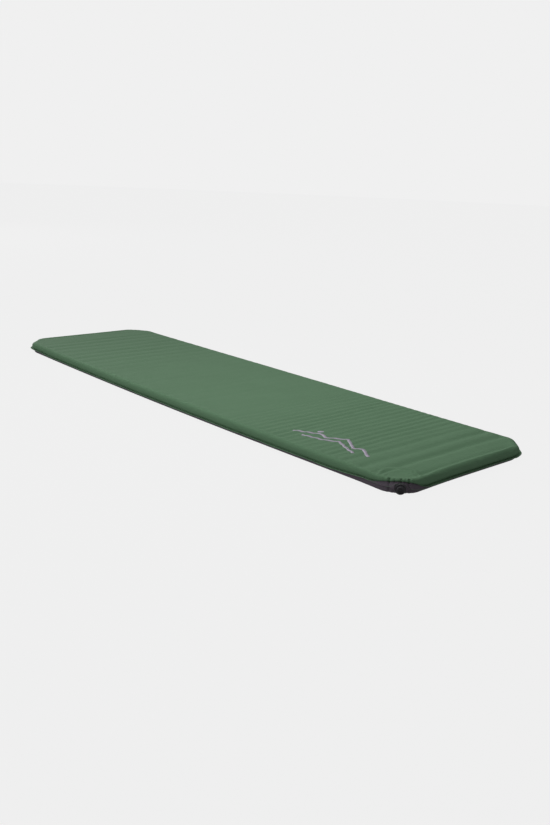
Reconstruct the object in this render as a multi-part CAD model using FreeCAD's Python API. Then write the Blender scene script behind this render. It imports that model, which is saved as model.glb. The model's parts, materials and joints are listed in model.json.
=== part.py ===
import FreeCAD, Part
import math
import os

from FreeCAD import Vector

# Self-inflating sleeping mat with a twist valve welded into one corner.
# Millimetres. The origin is under the middle of the mat, on the ground. +X runs along the mat
# to the valve end, +Y across it, +Z up. The valve looks out along the +X -Y corner.

# Mat envelope
mat_length = 1830.0
mat_width = 510.0
mat_thickness = 38.0
corner_cut = 50.0          # how far the 45 degree cut runs back along each side
corner_radius = 60.0       # round where a cut meets a side
flange_width = 9.0         # welded edge all round
seam_height = 19.0         # middle of the weld above the ground
top_round = 14.0           # shoulder of the top sheet
bottom_round = 8.0         # lower edge of the bottom sheet
fabric_thickness = 0.5
film_thickness = 0.25
weld_setback = 0.5         # from the trimmed fabric edge in to the weld

# Foam core, bonded to both films and cored with channels across the mat
channel_pitch = 50.0
channel_width = 26.0
channel_height = 14.0
valve_end_channels = 12
valve_end_margin = 85.0    # from the end of the mat to the first channel's middle
far_end_channels = 10
far_end_margin = 125.0
guard_pocket_gap = 1.0     # room in the foam round the guard

# Valve body: places along the valve are measured out from the trimmed edge of the corner
barrel_radius = 7.5
barrel_wall = 2.3
barrel_inner_end = 16.0    # reach into the mat
foot_half_width = 22.0
foot_cover = 1.0           # wall of the foot over the barrel
foot_setback = 1.5         # from the trimmed edge in to the foot
foot_inside = 1.5          # how far the foot shows past the flange, inside
collar_radius = 10.5
collar_start = 0.2
collar_thickness = 1.6

# Thread between barrel and cap, right-handed
thread_lead = 4.0
thread_turns = 1.1
opening_turns = 1.0        # from closed to fully open
thread_start = 3.0
thread_depth = 0.8
thread_root_width = 1.7
thread_crest_width = 0.9
thread_root_sink = 0.3     # how far the ridge starts inside the barrel wall
thread_clearance = 0.25
thread_end_room = 0.3      # groove past the ridge's end, along the valve
groove_mouth_lap = 0.1     # how far the groove's section starts inside the cap's bore

# Cap
cap_gap = 0.4              # collar to cap when it is closed
bore_clearance = 0.3
grip_wall = 4.7
grip_past_seal = 1.0       # from the seal's groove to the step down to the spigot
grip_flutes = 20
flute_radius = 1.1
flute_depth = 0.55
grip_round = 0.8
spigot_wall = 1.2
spigot_length = 8.0
spigot_round = 0.5
end_gap = 0.3              # barrel end to the cap's end wall when it is closed
end_wall = 2.2
mouth_radius = 4.0
funnel_radius = 6.8

# Seals and plug
cap_seal_section = 1.7
seal_past_thread = 0.85    # from the end of the ridge to the seal's groove
seal_clearance = 0.1
plug_clearance = 0.3
plug_length = 2.3
plug_tip_length = 0.7
plug_tip_radius = 2.6
plug_seal_section = 1.3
plug_seal_inset = 1.4      # middle of the ring in from the plug's inner end
stem_radius = 1.8
spider_start = 5.0
spider_length = 3.0
spider_clearance = 0.05
spider_rim = 1.0
spoke_width = 1.4
spoke_count = 3

# Foam guard
guard_length = 19.5
guard_wall = 1.4
guard_clearance = 0.1
guard_foot_gap = 1.0       # foot to the guard's open end
guard_slot_width = 3.0
guard_slot_length = 9.0
guard_slot_count = 6
guard_end_wall = 1.5
guard_end_hole = 3.0

# Worked out from the sizes above
skin = fabric_thickness + film_thickness
foot_half_height = barrel_radius + foot_cover
bore_radius = barrel_radius - barrel_wall
cap_start = collar_start + collar_thickness + cap_gap
cap_bore_radius = barrel_radius + bore_clearance
grip_radius = cap_bore_radius + grip_wall
spigot_radius = cap_bore_radius + spigot_wall
seal_room = cap_seal_section + 2 * seal_clearance
cap_seal_start = thread_start + thread_lead * thread_turns + thread_root_width / 2 + seal_past_thread
barrel_outer_end = cap_seal_start + seal_room + thread_lead * opening_turns
grip_length = cap_seal_start + seal_room + grip_past_seal - cap_start
cap_end_wall_start = barrel_outer_end + end_gap
cap_end = cap_start + grip_length + spigot_length
plug_radius = mouth_radius - plug_clearance
beyond = 5.0               # how far a cutting tool overshoots
edge_tolerance = 0.01      # for finding the edges at a height

# Middle of the cut corner's trimmed edge, and the way the valve points
valve_point = Vector((mat_length - corner_cut) / 2, -(mat_width - corner_cut) / 2, seam_height)
valve_turn = FreeCAD.Rotation(Vector(1, 1, 0), Vector(0, 0, 1), Vector(1, -1, 0), "ZYX")
valve_place = FreeCAD.Placement(valve_point, valve_turn)


def mat_outline(inset, height):
    """Outline of the mat, moved in by inset: a rectangle with cut and rounded corners."""
    half_length = mat_length / 2 - inset
    half_width = mat_width / 2 - inset
    cut = corner_cut - inset * (2 - math.sqrt(2))
    radius = corner_radius - inset
    quarter = [(half_length, half_width - cut), (half_length - cut, half_width)]
    corners = [Vector(x, y, height) for x, y in quarter]
    corners += [Vector(-x, y, height) for x, y in reversed(quarter)]
    corners += [Vector(-x, -y, height) for x, y in quarter]
    corners += [Vector(x, -y, height) for x, y in reversed(quarter)]
    return rounded_polygon(corners, radius)


def rounded_polygon(corners, radius):
    """Closed wire through the corners, each rounded with an arc of the radius."""
    count = len(corners)
    arcs = []
    for i, corner in enumerate(corners):
        back = (corners[i - 1] - corner).normalize()
        ahead = (corners[(i + 1) % count] - corner).normalize()
        half_angle = back.getAngle(ahead) / 2
        reach = radius / math.tan(half_angle)
        to_centre = (back + ahead).normalize()
        crown = corner + to_centre * (radius / math.sin(half_angle) - radius)
        arcs.append((corner + back * reach, crown, corner + ahead * reach))
    edges = []
    for i, (start, crown, end) in enumerate(arcs):
        edges.append(Part.Arc(start, crown, end).toShape())
        edges.append(Part.LineSegment(end, arcs[(i + 1) % count][0]).toShape())
    return Part.Wire(edges)


def edges_at(shape, height):
    """The shape's edges that lie flat at a height."""
    found = []
    for edge in shape.Edges:
        box = edge.BoundBox
        if abs(box.ZMin - height) < edge_tolerance and abs(box.ZMax - height) < edge_tolerance:
            found.append(edge)
    return found


def slab(inset, low, high, low_round=0.0, high_round=0.0):
    """Block with the mat's outline between two heights, its lower and upper edges rounded."""
    block = Part.Face(mat_outline(inset, low)).extrude(Vector(0, 0, high - low))
    for height, radius in ((low, low_round), (high, high_round)):
        if radius > 0:
            block = block.makeFillet(radius, edges_at(block, height))
    return block


def on_valve(shape):
    """Move a shape made about its own Z axis to the valve, with that axis pointing out."""
    placed = shape.copy()
    placed.Placement = valve_place.multiply(placed.Placement)
    return placed


def rod(radius, start, end):
    """Cylinder on the valve's axis."""
    return Part.makeCylinder(radius, end - start, Vector(0, 0, start))


def tube(outer, inner, start, end):
    return rod(outer, start, end).cut(rod(inner, start - beyond, end + beyond))


def ring(section, inner_radius, middle):
    """O-ring round the valve's axis."""
    return Part.makeTorus(inner_radius + section / 2, section / 2, Vector(0, 0, middle))


def foot_block(half_width, half_height, tip, start, end):
    """Boat-shaped block across the valve, pointed at both sides, tip being half its edge."""
    left = Vector(-half_width, 0, start)
    right = Vector(half_width, 0, start)
    rise = Vector(0, tip, 0)
    crown = Vector(0, half_height, 0)
    edges = [
        Part.Arc(left + rise, Vector(0, 0, start) + crown, right + rise).toShape(),
        Part.LineSegment(right + rise, right - rise).toShape(),
        Part.Arc(right - rise, Vector(0, 0, start) - crown, left - rise).toShape(),
        Part.LineSegment(left - rise, left + rise).toShape(),
    ]
    return Part.Face(Part.Wire(edges)).extrude(Vector(0, 0, end - start))


def foot_opening():
    """The space that the valve's foot fills between the two sheets."""
    start = -(flange_width + foot_inside + beyond)
    return on_valve(foot_block(foot_half_width, foot_half_height, film_thickness, start, beyond))


def foot_wrap():
    """The sheets' bulge over the foot, before the foot's own space is cut out of it."""
    widened = foot_half_width + 2 * fabric_thickness
    height = foot_half_height + fabric_thickness
    block = foot_block(widened, height, skin, -(flange_width + foot_inside + fabric_thickness), beyond)
    return on_valve(block)


def top_fabric():
    low = seam_height + film_thickness
    high = mat_thickness - fabric_thickness
    zone = slab(0, low, mat_thickness)
    shell = slab(flange_width, low, mat_thickness, 0, top_round)
    shell = shell.fuse(slab(0, low, low + fabric_thickness)).fuse(foot_wrap().common(zone))
    inside = slab(flange_width + fabric_thickness, low - beyond, high, 0, top_round - fabric_thickness)
    return shell.cut(inside).cut(foot_opening()).removeSplitter()


def bottom_fabric():
    high = seam_height - film_thickness
    zone = slab(0, 0, high)
    shell = slab(flange_width, 0, high, bottom_round, 0)
    shell = shell.fuse(slab(0, high - fabric_thickness, high)).fuse(foot_wrap().common(zone))
    inside = slab(flange_width + fabric_thickness, fabric_thickness, high + beyond,
                  bottom_round - fabric_thickness, 0)
    return shell.cut(inside).cut(foot_opening()).removeSplitter()


def top_air_film():
    film = slab(flange_width + fabric_thickness, seam_height, mat_thickness - fabric_thickness, 0,
                top_round - fabric_thickness)
    inside = slab(flange_width + skin, seam_height - beyond, mat_thickness - skin, 0, top_round - skin)
    return film.cut(inside).cut(foot_opening()).removeSplitter()


def bottom_air_film():
    film = slab(flange_width + fabric_thickness, fabric_thickness, seam_height,
                bottom_round - fabric_thickness, 0)
    inside = slab(flange_width + skin, skin, seam_height + beyond, bottom_round - skin, 0)
    return film.cut(inside).cut(foot_opening()).removeSplitter()


def seam_weld():
    low = seam_height - film_thickness
    high = seam_height + film_thickness
    band = slab(weld_setback, low, high)
    band = band.cut(slab(flange_width + fabric_thickness, low - beyond, high + beyond))
    return band.cut(foot_opening()).removeSplitter()


def channel(x):
    """Rounded tunnel across the foam, centred on the foam's height."""
    radius = channel_height / 2
    reach = channel_width / 2 - radius
    y = -mat_width / 2
    middle = mat_thickness / 2
    low = middle - radius
    high = middle + radius
    edges = [
        Part.LineSegment(Vector(x - reach, y, low), Vector(x + reach, y, low)).toShape(),
        Part.Arc(Vector(x + reach, y, low), Vector(x + reach + radius, y, middle),
                 Vector(x + reach, y, high)).toShape(),
        Part.LineSegment(Vector(x + reach, y, high), Vector(x - reach, y, high)).toShape(),
        Part.Arc(Vector(x - reach, y, high), Vector(x - reach - radius, y, middle),
                 Vector(x - reach, y, low)).toShape(),
    ]
    return Part.Face(Part.Wire(edges)).extrude(Vector(0, mat_width, 0))


def foam_core():
    foam = slab(flange_width + skin, skin, mat_thickness - skin, bottom_round - skin, top_round - skin)
    places = [mat_length / 2 - valve_end_margin - i * channel_pitch for i in range(valve_end_channels)]
    places += [far_end_margin - mat_length / 2 + i * channel_pitch for i in range(far_end_channels)]
    for x in places:
        foam = foam.cut(channel(x))
    guard_radius = barrel_radius + guard_clearance + guard_wall
    guard_end = flange_width + foot_inside + guard_foot_gap + guard_length
    pocket = rod(guard_radius + guard_pocket_gap, -(guard_end + guard_pocket_gap), beyond)
    return foam.cut(on_valve(pocket)).cut(foot_opening())


def thread(root_radius, depth, root_width, crest_width, start, turns):
    """Helical ridge from a tapered section, starting at one place along the valve."""
    section = Part.makePolygon([
        Vector(root_radius, 0, -root_width / 2),
        Vector(root_radius + depth, 0, -crest_width / 2),
        Vector(root_radius + depth, 0, crest_width / 2),
        Vector(root_radius, 0, root_width / 2),
        Vector(root_radius, 0, -root_width / 2),
    ])
    path = Part.makeHelix(thread_lead, thread_lead * turns, root_radius)
    ridge = path.makePipeShell([section], True, True)
    ridge.translate(Vector(0, 0, start))
    return ridge


def valve_base():
    foot = foot_block(foot_half_width, foot_half_height, film_thickness,
                      -(flange_width + foot_inside), -foot_setback)
    body = foot.fuse(rod(barrel_radius, -barrel_inner_end, barrel_outer_end))
    body = body.fuse(rod(collar_radius, collar_start, collar_start + collar_thickness))
    taper = (thread_root_width - thread_crest_width) * thread_root_sink / thread_depth
    ridge = thread(barrel_radius - thread_root_sink, thread_depth + thread_root_sink,
                   thread_root_width + taper, thread_crest_width, thread_start, thread_turns)
    body = body.fuse(ridge)
    body = body.cut(rod(bore_radius, -barrel_inner_end - beyond, barrel_outer_end + beyond))
    return on_valve(body)


def foam_guard():
    inner = barrel_radius + guard_clearance
    outer = inner + guard_wall
    open_end = -(flange_width + foot_inside + guard_foot_gap)
    closed_end = open_end - guard_length
    guard = rod(outer, closed_end, open_end)
    guard = guard.cut(rod(inner, closed_end + guard_end_wall, open_end + beyond))
    guard = guard.cut(rod(guard_end_hole, closed_end - beyond, open_end))
    slot_end = -(barrel_inner_end + guard_end_wall)
    for i in range(guard_slot_count):
        slot = Part.makeBox(outer, guard_slot_width, guard_slot_length,
                            Vector(inner / 2, -guard_slot_width / 2, slot_end - guard_slot_length))
        slot.rotate(Vector(0, 0, 0), Vector(0, 0, 1), 360.0 * i / guard_slot_count)
        guard = guard.cut(slot)
    return on_valve(guard)


def plug_spider():
    rim_radius = bore_radius - spider_clearance
    spider = tube(rim_radius, rim_radius - spider_rim, spider_start, spider_start + spider_length)
    for i in range(spoke_count):
        spoke = Part.makeBox(rim_radius - spider_rim / 2, spoke_width, spider_length,
                             Vector(0, -spoke_width / 2, spider_start))
        spoke.rotate(Vector(0, 0, 0), Vector(0, 0, 1), 360.0 * i / spoke_count)
        spider = spider.fuse(spoke)
    plug_end = barrel_outer_end + plug_length
    spider = spider.fuse(rod(stem_radius, spider_start, barrel_outer_end))
    spider = spider.fuse(rod(plug_radius, barrel_outer_end, plug_end))
    tip = Part.makeCone(plug_radius, plug_tip_radius, plug_tip_length, Vector(0, 0, plug_end))
    spider = spider.fuse(tip)
    middle = barrel_outer_end + plug_seal_inset
    groove_floor = plug_seal_inner() - spider_clearance
    groove_half = plug_seal_section / 2 + spider_clearance
    groove = tube(plug_radius + beyond, groove_floor, middle - groove_half, middle + groove_half)
    return on_valve(spider.cut(groove).removeSplitter())


def plug_seal_inner():
    """Inner radius of the plug's O-ring, whose outside stops just short of the mouth."""
    return mouth_radius - seal_clearance - plug_seal_section


def plug_seal():
    return on_valve(ring(plug_seal_section, plug_seal_inner(), barrel_outer_end + plug_seal_inset))


def cap_seal():
    middle = cap_seal_start + seal_clearance + cap_seal_section / 2
    return on_valve(ring(cap_seal_section, barrel_radius + seal_clearance, middle))


def twist_cap():
    grip = rod(grip_radius, cap_start, cap_start + grip_length)
    grip = grip.makeFillet(grip_round, grip.Edges)
    flute_reach = grip_radius + flute_radius - flute_depth
    for i in range(grip_flutes):
        angle = 2 * math.pi * i / grip_flutes
        foot = Vector(flute_reach * math.cos(angle), flute_reach * math.sin(angle), cap_start - beyond)
        grip = grip.cut(Part.makeCylinder(flute_radius, grip_length + 2 * beyond, foot))
    spigot = rod(spigot_radius, cap_start + grip_length / 2, cap_end)
    cap = grip.fuse(spigot.makeFillet(spigot_round, edges_at(spigot, cap_end)))
    cap = cap.cut(rod(cap_bore_radius, cap_start - beyond, cap_end_wall_start))
    cap = cap.cut(rod(mouth_radius, cap_start, cap_end + beyond))
    funnel_start = cap_end_wall_start + end_wall
    cap = cap.cut(rod(funnel_radius, funnel_start, cap_end + beyond))
    seal_floor = barrel_radius + seal_clearance + cap_seal_section + seal_clearance
    cap = cap.cut(rod(seal_floor, cap_seal_start, cap_seal_start + seal_room))
    lap = groove_mouth_lap
    flank = (thread_root_width - thread_crest_width) / thread_depth
    depth = thread_depth - bore_clearance + thread_clearance + lap
    crest = thread_crest_width + 2 * thread_clearance
    groove = thread(cap_bore_radius - lap, depth, crest + flank * depth, crest,
                    thread_start - thread_lead, thread_turns + 1 + thread_end_room / thread_lead)
    return on_valve(cap.cut(groove))


pieces = {
    "top_fabric": top_fabric,
    "top_air_film": top_air_film,
    "foam_core": foam_core,
    "bottom_air_film": bottom_air_film,
    "bottom_fabric": bottom_fabric,
    "seam_weld": seam_weld,
    "valve_base": valve_base,
    "foam_guard": foam_guard,
    "plug_spider": plug_spider,
    "plug_seal": plug_seal,
    "cap_seal": cap_seal,
    "twist_cap": twist_cap,
}

os.makedirs("parts", exist_ok=True)
for name, make in pieces.items():
    shape = make()
    print(name, "solids", len(shape.Solids), "volume", round(shape.Volume, 1), "valid", shape.isValid())
    shape.exportStep("parts/" + name + ".step")
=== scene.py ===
import json
import math

import bmesh
import bpy
import numpy as np
from mathutils import Matrix, Vector
from mathutils.bvhtree import BVHTree


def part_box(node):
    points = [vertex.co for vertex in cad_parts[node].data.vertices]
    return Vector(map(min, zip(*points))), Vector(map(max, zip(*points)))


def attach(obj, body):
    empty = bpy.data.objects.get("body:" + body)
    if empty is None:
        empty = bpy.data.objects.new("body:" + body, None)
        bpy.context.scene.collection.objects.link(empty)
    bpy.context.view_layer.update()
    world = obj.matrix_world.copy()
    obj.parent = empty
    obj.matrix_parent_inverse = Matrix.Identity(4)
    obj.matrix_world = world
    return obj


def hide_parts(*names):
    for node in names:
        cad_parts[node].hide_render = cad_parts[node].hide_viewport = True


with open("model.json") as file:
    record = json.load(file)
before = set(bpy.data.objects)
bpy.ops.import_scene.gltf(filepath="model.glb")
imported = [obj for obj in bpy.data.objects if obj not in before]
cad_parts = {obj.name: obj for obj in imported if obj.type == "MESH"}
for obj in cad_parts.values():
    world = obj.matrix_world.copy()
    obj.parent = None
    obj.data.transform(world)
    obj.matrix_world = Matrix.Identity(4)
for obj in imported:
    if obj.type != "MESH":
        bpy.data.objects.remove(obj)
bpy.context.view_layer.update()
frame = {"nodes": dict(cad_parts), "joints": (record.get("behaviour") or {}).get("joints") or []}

print("frame loaded,", len(frame["nodes"]), "CAD nodes")

# Metres throughout. +X runs along the mat to the valve end, +Y across it, +Z up.
# A depth is measured in from the trimmed edge of the mat's outline.

sheetLow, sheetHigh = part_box("top_fabric")
twistJoint = next(j for j in frame["joints"] if j["name"] == "cap_twist")
valvePoint = np.array(twistJoint["pos_m"])    # middle of the cut corner's trimmed edge
valveAxis = np.array(twistJoint["axis"])
valveAcross = np.array([-valveAxis[1], valveAxis[0], 0.0])    # level, along the cut corner

mat = {
    "halfLength": sheetHigh.x,
    "halfWidth": sheetHigh.y,
    "thickness": sheetHigh.z,
    "cornerCut": 0.050,       # as the CAD outline has them
    "cornerRound": 0.060,
    "sideBow": 0.0095,        # how far the middle of each long side stands out
    "bowReach": 0.880,        # the bow ends this far from the middle
    "bowPower": 1.2,
    "endLift": 0.0034,        # both ends curl up a little
    "stillReach": 0.11,       # except this near to the valve
    "seamMiddle": 0.012,      # height of the weld halfway along the sides
    "seamValve": float(valvePoint[2]),    # at the valve's corner
    "seamValveReach": 0.35,   # which counts up to this far from the valve
    "seamCorner": 0.0145,     # at the other three corners
    "seamRise": (0.75, 0.90),    # where it rises, as a share of the way to a corner
    "borderDepth": 0.040,     # width of the band that is built from rings
    "spacing": 0.005,         # between the rows of the mesh
    "arcSteps": 6,            # round each bend of the cut corners, and along each cut
    "cutSteps": 6,
    "fineReach": 0.115,       # the border is finer this near to the valve
}

topSide = {
    "crownHeight": 0.0004,    # how far the lands between the ribs stand over the CAD top
    "shoulderLong": 0.0160,   # where the flat top begins, on the long sides
    "shoulderShort": 0.0120,  # and at the two ends
    "bulgeDepth": 0.0040,     # the side's outermost place
    "bulgeHeight": 0.48,      # as a share of the side's height over the weld
    "rootDepth": 0.0092,      # where the side meets the welded edge
    "squareness": 2.90,
    "bandRings": 5,           # rings between the grid and the shoulder
    "roundRings": 13,         # over the shoulder
    "underRings": 5,          # and under the bulge
    "reliefDepth": (0.006, 0.020),    # the ribs fade out between these depths
    "foldFade": 0.88,         # the valve's creases fade out above this share of the side
    # at the three plain corners:
    "cornerPower": 4,         # how fast the corner's shape fades along the sides
    "cornerFull": 0.0045,     # the bulge stands this much further out
    "cornerBulgeDrop": 0.38,  # and lower
    "cornerShoulder": 0.0030,    # the flat top begins further in
    "cornerSquareness": 1.05,    # and slopes down more plainly
    "cornerRoot": 0.0075,     # the side's foot stands further out
    "cornerLift": 0.0020,     # and higher
    "cornerEar": 0.0070,      # and so does the trimmed edge
}

bottomSide = {
    "bulgeDepth": 0.0083,
    "floorDepth": 0.0185,
    "bulgeHeight": 0.80,
    "squareness": 2.1,
    "innerDepth": 0.028,      # first ring, on the ground
    "roundRings": 11,
    "footShare": 0.93,        # height of the ring halfway from the bulge to the weld
}

sheets = {
    "thickness": 0.0005,
    "fillet": 0.0006,         # from the weld's middle to each sheet's outer face
    "flangeDepths": (0.0078, 0.0055, 0.0030, 0.0008, 0.0),    # rings over the welded edge
    "flangeWave": 0.0005,     # the welded edge isn't quite level
    "waveTurns": (31.0, 43.0),    # radians to the metre along and across the mat
    "waveTerms": ((1.0, 1.0, 0.0), (0.7, 2.3, 1.0), (0.5, 5.1, 0.0)),    # size, turns, start
}

ribs = {
    "pitch": 0.050,
    "depth": 0.0033,
    "sharpness": 1.5,
    "nearFirst": 0.830,       # first valley at the valve end
    "nearFull": 0.46,         # full depth up to here, and none at nearGone
    "nearGone": 0.22,
    "nearLast": (0.835, 0.870),    # they fade out here, short of the end
    "finerReach": (0.66, 0.80),    # from here towards the middle they come twice as close
    "finerShare": 0.48,
    "farFirst": -0.790,
    "farShare": 0.42,         # depth at the far end against the valve end
    "farFull": -0.50,
    "farGone": -0.28,
    "farLast": (0.80, 0.84),
    "middleShare": 0.07,      # and in the middle
    "middlePlace": -0.03,
    "middleReach": (0.25, 0.45),
    "endPlace": 0.8935,       # a last shallow valley beside each end
    "endDepth": 0.0034,
    "endWidth": 0.0065,
    "endReach": (0.16, 0.21),    # it fades out this far from the middle
    # sines over the mat: size, radians to the metre along and across it, and where it starts
    "wander": ((0.0016, 40.0, 9.0, 0.0), (0.0011, -17.0, 23.0, 0.0)),
    "uneven": ((0.22, 31.0, 5.0, 0.0), (0.12, 71.0, 12.0, 0.0)),
    "swell": ((0.000125, 14.0, 11.0, 1.3), (0.000125, 14.0, -11.0, 1.3), (0.0002, 37.0, -21.0, 0.0)),
}

valveWrap = {
    "halfWidth": 0.022,       # the boat-shaped foot between the sheets
    "rise": 0.0085,
    "tip": 0.00025,
    "pleats": (               # place along the corner, width and depth of each crease
        (-0.0255, 0.0028, 0.0050), (0.0020, 0.0024, 0.0042), (0.0205, 0.0028, 0.0050),
        (-0.0380, 0.0032, 0.0016), (-0.0120, 0.0024, 0.0018), (0.0115, 0.0024, 0.0018),
        (0.0330, 0.0032, 0.0016),
    ),
    "hoodHeight": 0.0306,     # where the green side starts over the valve
    "hoodReach": 0.068,       # how far along the corner that rise runs each way
    "tabGap": 0.00055,        # charcoal tab over the green edge
    "tabDepth": 0.0098,
    "tabOpening": 0.0106,     # half width of the gap in the tab for the valve's collar
    "weltRadius": 0.076,      # raised line in the top round the valve
    "weltNarrow": 0.68,       # it is narrower along the corner
    "weltWidth": 0.0060,
    "weltHeight": 0.0026,
    "innerWeltPlace": 0.76,    # a second, weaker line inside it, as shares of its radius
    "innerWeltWidth": 0.06,
    "innerWeltShare": 0.5,
    "hollow": 0.0008,         # the top stands lower between valve and line
    "hollowFrom": 0.035,
    "zone": 0.12,             # the corner's shape reaches this far from the valve
    "calmReach": 0.035,       # the welded edge lies flat this near to it
    "pleatReach": 0.05,       # the creases fade out this far from it
    "creasePower": 0.35,      # how far the creases run on down the tab
    "foldDrop": 0.5,          # the side drops by this share of a crease's depth
    "bottomPinch": 0.6,       # and the bottom sheet has this share of it
    "hoodCurve": (2.2, 1.15),    # powers that round its middle and its two ends
    "taperPower": 4,          # how abruptly the tab narrows at its ends
    "flangeSteep": 1.15,      # how fast the top sheet's edge comes down on to the foot
    "tabRings": (0.0, 0.0012, 0.0030, 0.0055, 0.0078),
}


def smoothStep(value, low, high):
    t = np.clip((value - low) / (high - low), 0.0, 1.0)
    return t * t * (3.0 - 2.0 * t)


def alongCut(x, y):
    # distance along the cut corner from the valve's axis
    return (x - valvePoint[0]) * valveAcross[0] + (y - valvePoint[1]) * valveAcross[1]


def fromValve(x, y):
    return np.hypot(x - valvePoint[0], y - valvePoint[1])


def cornerQuarter(depth, spacing):
    # points and outward normals from the middle of a long side round to the short side
    halfLength = mat["halfLength"] - depth
    halfWidth = mat["halfWidth"] - depth
    cut = mat["cornerCut"] - depth * (2 - math.sqrt(2))
    radius = mat["cornerRound"] - depth
    reach = radius * math.tan(math.pi / 8)
    sideEnd = halfLength - cut - reach
    points = [(x, halfWidth) for x in np.linspace(0, sideEnd, int(round(sideEnd / spacing)) + 1)[:-1]]
    normals = [(0.0, 1.0)] * len(points)

    def addArc(centre, start, end):
        for angle in np.linspace(start, end, mat["arcSteps"] + 1):
            normals.append((math.cos(angle), math.sin(angle)))
            points.append((centre[0] + radius * math.cos(angle), centre[1] + radius * math.sin(angle)))

    addArc((sideEnd, halfWidth - radius), math.pi / 2, math.pi / 4)
    start = np.array(points[-1])
    endCentre = (halfLength - radius, halfWidth - cut - reach)
    slant = radius * math.cos(math.pi / 4)
    end = np.array(endCentre) + slant
    for t in np.linspace(0, 1, mat["cutSteps"] + 1)[1:-1]:
        points.append(tuple(start + (end - start) * t))
        normals.append(normals[-1])
    addArc(endCentre, math.pi / 4, 0)
    return np.array(points), np.array(normals)


class MatGrid:
    # rows across the mat, and the loop round their ends with its outward normals
    def __init__(self, spacing, fineReach=0.0):
        quarter, normals = cornerQuarter(mat["borderDepth"], spacing)
        rowX = np.concatenate([-quarter[:0:-1, 0], quarter[:, 0]])
        rowHalf = np.concatenate([quarter[:0:-1, 1], quarter[:, 1]])
        normalX = np.concatenate([-normals[:0:-1, 0], normals[:, 0]])
        normalY = np.concatenate([normals[:0:-1, 1], normals[:, 1]])
        self.rows = len(rowX)
        self.columns = 2 * int(round(quarter[-1, 1] / spacing)) + 1
        self.x = np.repeat(rowX, self.columns)
        self.y = (rowHalf[:, None] * np.linspace(-1, 1, self.columns)[None, :]).ravel()
        last = self.rows - 1
        loop = [(row * self.columns, normalX[row], -normalY[row]) for row in range(self.rows)]
        loop += [(last * self.columns + c, 1.0, 0.0) for c in range(1, self.columns - 1)]
        loop += [(row * self.columns + self.columns - 1, normalX[row], normalY[row])
                 for row in range(last, -1, -1)]
        loop += [(c, -1.0, 0.0) for c in range(self.columns - 2, 0, -1)]
        self.between = {}     # extra points on the loop beside the valve, by the two they stand between
        loop = self.refine(loop, fineReach)
        self.loop = np.array([entry[0] for entry in loop])
        self.normal = np.array([entry[1:] for entry in loop])
        self.edgeX, self.edgeY = self.at(0.0)

    def refine(self, loop, fineReach):
        radius = mat["cornerRound"] - mat["borderDepth"]
        finer, newX, newY = [], [], []
        for i, (a, ax, ay) in enumerate(loop):
            b, bx, by = loop[(i + 1) % len(loop)]
            finer.append((a, ax, ay))
            away = fromValve(self.x[a], self.y[a])
            parts = 1 if away > fineReach else 2 if (ax, ay) == (bx, by) else 4
            start, end = math.atan2(ay, ax), math.atan2(by, bx)
            for t in np.linspace(0, 1, parts + 1)[1:-1]:
                angle = start + (end - start) * t
                nx, ny = math.cos(angle), math.sin(angle)
                centreX = (self.x[a] - radius * ax) * (1 - t) + (self.x[b] - radius * bx) * t
                centreY = (self.y[a] - radius * ay) * (1 - t) + (self.y[b] - radius * by) * t
                index = len(self.x) + len(newX)
                newX.append(centreX + radius * nx)
                newY.append(centreY + radius * ny)
                self.between.setdefault((a, b), []).append(index)
                finer.append((index, nx, ny))
        self.x, self.y = np.append(self.x, newX), np.append(self.y, newY)
        return finer

    def at(self, depth):
        # the loop moved out to a depth
        step = mat["borderDepth"] - depth
        return self.x[self.loop] + self.normal[:, 0] * step, self.y[self.loop] + self.normal[:, 1] * step

    def gridFaces(self):
        row, column = np.meshgrid(np.arange(self.rows - 1), np.arange(self.columns - 1), indexing="ij")
        first = (row * self.columns + column).ravel()
        quads = np.column_stack([first, first + self.columns, first + self.columns + 1, first + 1])
        return [self.withBetween(quad) for quad in quads.tolist()]

    def withBetween(self, quad):
        if not self.between:
            return quad
        face = []
        for i, a in enumerate(quad):
            face.append(a)
            face += self.between.get((a, quad[(i + 1) % 4]), [])
        return face


def ringFaces(inner, outer, closed=True):
    # quads between two rings of points
    faces = np.column_stack([inner, outer, np.roll(outer, -1), np.roll(inner, -1)])
    return faces.tolist() if closed else faces[:-1].tolist()


def seamHeight(x, y):
    nearCorner = np.minimum(np.abs(x) / mat["halfLength"], np.abs(y) / mat["halfWidth"])
    share = smoothStep(nearCorner, *mat["seamRise"])
    atCorner = np.where(fromValve(x, y) < mat["seamValveReach"], mat["seamValve"], mat["seamCorner"])
    return mat["seamMiddle"] + (atCorner - mat["seamMiddle"]) * share


def footRise(x, y):
    # how far each sheet's outer face stands off the weld's middle, more where it wraps over the foot
    half, rise, tip = valveWrap["halfWidth"], valveWrap["rise"], valveWrap["tip"]
    radius = (half ** 2 + (rise - tip) ** 2) / (2 * (rise - tip))
    q = np.abs(alongCut(x, y))
    arc = np.sqrt(np.clip(radius ** 2 - q ** 2, 0, None)) - (radius - rise)
    near = (q < half) & (fromValve(x, y) < 2 * half)
    return np.where(near, np.clip(arc, 0, None), 0.0) + sheets["fillet"]


def waves(x, y, terms):
    return sum(size * np.sin(along * x + across * y + start) for size, along, across, start in terms)


def valley(turn):
    # 0 to 1 and back in each turn
    return 0.5 + 0.5 * np.cos(turn)


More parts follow.
